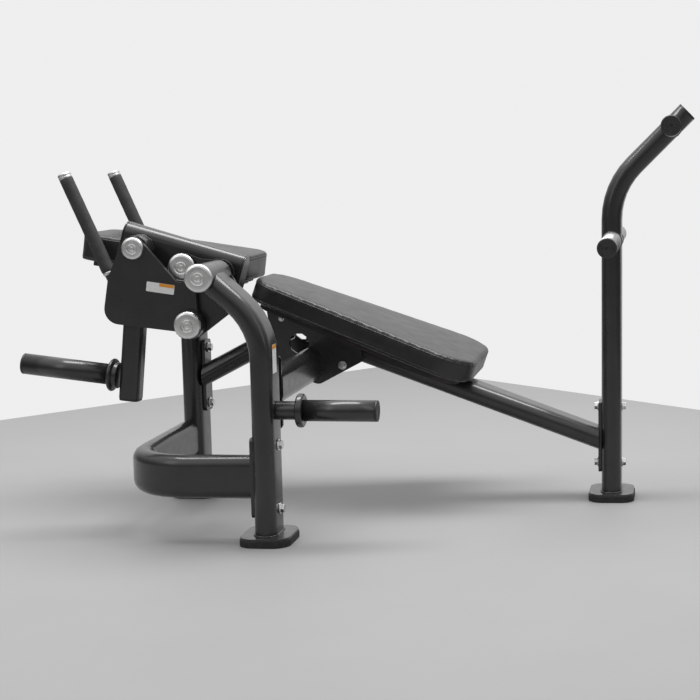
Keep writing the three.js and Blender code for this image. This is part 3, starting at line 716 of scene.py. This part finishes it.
def cushion(node, shrink, cap, voxel):
    """The padded cover: a copy of the CAD pad, slightly smaller, then remeshed, relaxed and inflated."""
    pad = PadFrame(node)
    mesh = NODES[node].data.copy()
    piece = bpy.data.objects.new(node + "_cover", mesh)
    bpy.context.scene.collection.objects.link(piece)
    bpy.context.view_layer.update()
    for vertex in mesh.vertices:
        offset = vertex.co - pad.centre
        height = offset.dot(pad.n)
        across = offset - height * pad.n
        lowered = height * (1 - shrink / (pad.high - pad.low)) if height > 0 else height
        vertex.co = pad.centre + across * (1 - shrink / across.length) + lowered * pad.n
    remesh = piece.modifiers.new("remesh", "REMESH")
    remesh.mode = "VOXEL"
    remesh.voxel_size = voxel
    graph = bpy.context.evaluated_depsgraph_get()
    piece.data = bpy.data.meshes.new_from_object(piece.evaluated_get(graph))
    piece.modifiers.clear()

    shape = bmesh.new()
    shape.from_mesh(piece.data)
    for _ in range(7):
        bmesh.ops.smooth_vert(
            shape, verts=shape.verts, factor=0.5, use_axis_x=True, use_axis_y=True, use_axis_z=True,
        )
    shape.to_mesh(piece.data)
    shape.free()
    swell(piece, pad, cap)
    piece.data.polygons.foreach_set("use_smooth", [True] * len(piece.data.polygons))
    piece.modifiers.new("fine", "SUBSURF").levels = 1
    piece.modifiers["fine"].render_levels = 1
    paint(piece, MATERIALS["pad_leather"])
    return piece, pad


def surface_of(piece):
    graph = bpy.context.evaluated_depsgraph_get()
    mesh = piece.evaluated_get(graph).data
    return BVHTree.FromPolygons([v.co for v in mesh.vertices], [p.vertices for p in mesh.polygons])


def on_cover(tree, pad, pairs, height, lean):
    """Where rays from outside, leaning down by an angle, meet the cover: (point, normal) round the pad."""
    found = []
    for place, outward in pairs:
        aim = -(outward * math.cos(lean) + pad.n * math.sin(lean))
        target = place + height * pad.n - outward * 4 * MM
        hit, normal, _, _ = tree.ray_cast(target - aim * 0.08, aim)
        if hit:
            found.append((hit, normal))
    return found


def stitches(name, seam, body, length, thick):
    """Short stitches, each a slim spindle half sunk in the cover, along a seam of (point, normal) pairs."""
    points, faces = [], []
    run = 0.0
    pitch = 1.45 * length
    for i, (start, normal) in enumerate(seam):
        end = seam[(i + 1) % len(seam)][0]
        run += (end - start).length
        if run < pitch:
            continue
        run -= pitch
        along = (end - start).normalized()
        side = along.cross(normal).normalized()
        base = len(points)
        for step, swell_share in ((-0.5, 0.25), (-0.25, 0.9), (0.25, 0.9), (0.5, 0.25)):
            middle = start + along * step * length + normal * (0.25 * thick * swell_share)
            for k in range(6):
                turn = math.pi * k / 3
                ring = math.cos(turn) * side + math.sin(turn) * normal
                points.append(middle + ring * thick * 0.5 * swell_share)
        for row in range(3):
            for k in range(6):
                a, b = base + row * 6 + k, base + row * 6 + (k + 1) % 6
                faces.append([a, b, b + 6, a + 6])
        faces.append([base + k for k in range(6)])
        faces.append([base + 18 + k for k in range(6)])
    piece = mesh_piece(name, points, faces, THREAD)
    extra(piece, body)


def upholster(node, shrink, cap, voxel, drop):
    """The cover, a flat welt round its upper edge and a row of stitches on each side of the welt."""
    cover, pad = cushion(node, shrink, cap, voxel)
    body = NODES[node]["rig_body"]
    tree = surface_of(cover)
    pairs = pad.loop(4 * MM)
    height = pad.high - pad.low
    lean = math.radians(28)
    apart = 3.2 * MM  # from the welt to each row of stitches
    welt_radius, hem_radius = 2.1 * MM, 1.3 * MM
    stitch_length, stitch_thick = 3.4 * MM, 1.0 * MM
    rows = {
        offset: on_cover(tree, pad, pairs, height - drop + offset, lean) for offset in (-apart, 0.0, apart)
    }
    welt = [point - normal * 0.9 * MM for point, normal in rows[0.0]]
    leather = MATERIALS["pad_leather"]
    extra(tube_along(node + "_welt", welt, welt_radius, leather, sides=10), body)
    stitches(node + "_stitches_upper", rows[apart], body, stitch_length, stitch_thick)
    stitches(node + "_stitches_lower", rows[-apart], body, stitch_length, stitch_thick)
    hem = [point - normal * 0.7 * MM for point, normal in on_cover(tree, pad, pairs, 9 * MM, 0.0)]
    extra(tube_along(node + "_hem", hem, hem_radius, leather, sides=8), body)
    stand_in(cover, node)


# ---- Labels --------------------------------------------------------------------------------------
def film(name, centre, u, v, half_u, half_v, material, body, lift):
    """A thin film with rounded corners, lying in the plane of u and v."""
    normal = u.cross(v).normalized()
    r = min(half_u, half_v) * 0.18
    outline = []
    for corner, (su, sv) in enumerate(((1, 1), (-1, 1), (-1, -1), (1, -1))):
        for step in range(5):
            turn = math.pi / 2 * (corner + step / 4)
            outline.append((su * (half_u - r) + r * math.cos(turn), sv * (half_v - r) + r * math.sin(turn)))
    count = len(outline)
    points = [centre + a * u + b * v + h * normal for h in (lift, lift + 0.15 * MM) for a, b in outline]
    faces = [list(range(count))[::-1], list(range(count, 2 * count))]
    faces += [[i, (i + 1) % count, count + (i + 1) % count, count + i] for i in range(count)]
    extra(mesh_piece(name, points, faces, material, smooth=False), body)


def labels():
    """Two blank labels, one on the lever plate and one on the side leg, each white with an orange band."""
    tilt = math.radians(-8)
    u = Vector((math.cos(tilt), 0, math.sin(tilt)))
    v = Vector((-math.sin(tilt), 0, math.cos(tilt)))
    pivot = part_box("lever_pivot_pin")
    plate_face = pivot[0].y + 23.3 * MM
    pivot_x, pivot_z = (pivot[0].x + pivot[1].x) / 2, (pivot[0].z + pivot[1].z) / 2
    centre = Vector((pivot_x - 64.5 * MM, plate_face, pivot_z + 82.5 * MM))
    film("lever_label", centre, u, v, 32 * MM, 11 * MM, LABEL_WHITE, "lever", 0.05 * MM)
    band = centre + 14 * MM * u + 7 * MM * v
    film("lever_label_band", band, u, v, 17 * MM, 3.6 * MM, LABEL_ORANGE, "lever", 0.22 * MM)

    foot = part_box("side_foot_rubber")
    face_x = (foot[0].x + foot[1].x) / 2 + 25 * MM
    centre = Vector((face_x, -478 * MM, 418 * MM))
    u, v = Vector((0, 1, 0)), Vector((0, 0, 1))
    film("leg_label", centre, u, v, 16 * MM, 32 * MM, LABEL_WHITE, "frame", 0.05 * MM)
    film("leg_label_band", centre + 27 * MM * v, u, v, 15 * MM, 4.4 * MM, LABEL_ORANGE, "frame", 0.22 * MM)


# ---- Studio --------------------------------------------------------------------------------------
CAMERA_PLACE = Vector((0.163, -3.743, 0.875))


def camera():
    """The main viewpoint; its lens shift is driven, to apply only while the camera stands there."""
    yaw, pitch = math.radians(2.5), math.radians(7.86)
    forward = Vector((-math.sin(yaw) * math.cos(pitch), math.cos(yaw) * math.cos(pitch), -math.sin(pitch)))
    data = bpy.data.cameras.new("camera")
    data.sensor_width = 36
    data.lens = 77.14
    shooter = bpy.data.objects.new("camera", data)
    bpy.context.scene.collection.objects.link(shooter)
    shooter.location = CAMERA_PLACE
    shooter.rotation_mode = "QUATERNION"
    shooter.rotation_quaternion = forward.to_track_quat("-Z", "Y")
    data.clip_end = 100
    for axis, shift in (("shift_x", -0.374), ("shift_y", 0.0114)):
        driver = data.driver_add(axis).driver
        driver.type = "SCRIPTED"
        place = driver.variables.new()
        place.name = "y"
        place.type = "TRANSFORMS"
        place.targets[0].id = shooter
        place.targets[0].transform_type = "LOC_Y"
        driver.expression = "%.4f if abs(y - %.3f) < 0.0005 else 0" % (shift, CAMERA_PLACE.y)
    bpy.context.scene.camera = shooter


def softbox(name, place, aim, size, power):
    data = bpy.data.lights.new(name, "AREA")
    data.shape = "RECTANGLE"
    data.size, data.size_y = size
    data.energy = power
    light = bpy.data.objects.new(name, data)
    bpy.context.scene.collection.objects.link(light)
    light.location = place
    light.rotation_mode = "QUATERNION"
    light.rotation_quaternion = (Vector(aim) - Vector(place)).to_track_quat("-Z", "Y")


def surround(tree):
    """A white wall for the camera; every other ray sees a dim room with a bright ceiling and back wall."""
    background = tree.nodes["Background"]
    place = tree.nodes.new("ShaderNodeTexCoord")
    axes = tree.nodes.new("ShaderNodeSeparateXYZ")
    tree.links.new(place.outputs["Generated"], axes.inputs["Vector"])
    floor_level = 0.07  # light from below and from the camera's side
    glow = None
    for axis, start, end, level in (("Z", 0.05, 0.75, 0.85), ("Y", 0.35, 1.0, 0.5)):
        ramp = tree.nodes.new("ShaderNodeMapRange")
        ramp.interpolation_type = "SMOOTHSTEP"
        ramp.inputs["From Min"].default_value = start
        ramp.inputs["From Max"].default_value = end
        ramp.inputs["To Min"].default_value = floor_level
        ramp.inputs["To Max"].default_value = floor_level + level
        tree.links.new(axes.outputs[axis], ramp.inputs["Value"])
        if glow is None:
            glow = ramp.outputs["Result"]
            continue
        total = tree.nodes.new("ShaderNodeMath")
        total.operation = "ADD"
        tree.links.new(glow, total.inputs[0])
        tree.links.new(ramp.outputs["Result"], total.inputs[1])
        glow = total.outputs["Value"]
    path = tree.nodes.new("ShaderNodeLightPath")
    choose = tree.nodes.new("ShaderNodeMix")
    tree.links.new(path.outputs["Is Camera Ray"], choose.inputs[0])
    tree.links.new(glow, choose.inputs[2])
    choose.inputs[3].default_value = 0.86
    background.inputs["Color"].default_value = (1, 1, 1, 1)
    tree.links.new(choose.outputs[0], background.inputs["Strength"])


def studio():
    corner = Vector((-1.03, 2.31, 0))  # where the room's two white walls meet the floor
    turn, side = math.radians(-38.2), 14.0
    right = side * Vector((math.cos(turn), math.sin(turn), 0))
    left = side * Vector((math.sin(turn), -math.cos(turn), 0))
    points = [corner, corner + left, corner + left + right, corner + right]
    finish = Finish("studio_floor", (0.3, 0.3, 0.3), 0.6)
    finish.vary_colour(finish.noise(3, 3), (0.295, 0.295, 0.295), (0.305, 0.305, 0.305))
    floor = mesh_piece("studio_floor", points, [(0, 1, 2, 3)], finish.material, smooth=False)
    world = bpy.data.worlds.new("studio")
    world.use_nodes = True
    surround(world.node_tree)
    bpy.context.scene.world = world
    middle = (-0.55, -0.1, 0.5)
    softbox("overhead", (-0.6, 0.1, 3.0), middle, (3.2, 0.9), 95)
    softbox("front_left", (-3.0, -2.8, 2.2), middle, (1.2, 2.0), 8)
    softbox("right", (2.6, -1.2, 1.8), middle, (0.8, 2.0), 6)
    bpy.context.scene.view_settings.view_transform = "Standard"
    bpy.context.scene.view_settings.look = "None"


dress_frame()
turned_fittings()
cheek_bolts()
welds()
upholster("bench_pad", shrink=1 * MM, cap=7 * MM, voxel=6 * MM, drop=11 * MM)
upholster("head_pad", shrink=1 * MM, cap=7 * MM, voxel=5.5 * MM, drop=11 * MM)
labels()
studio()
camera()
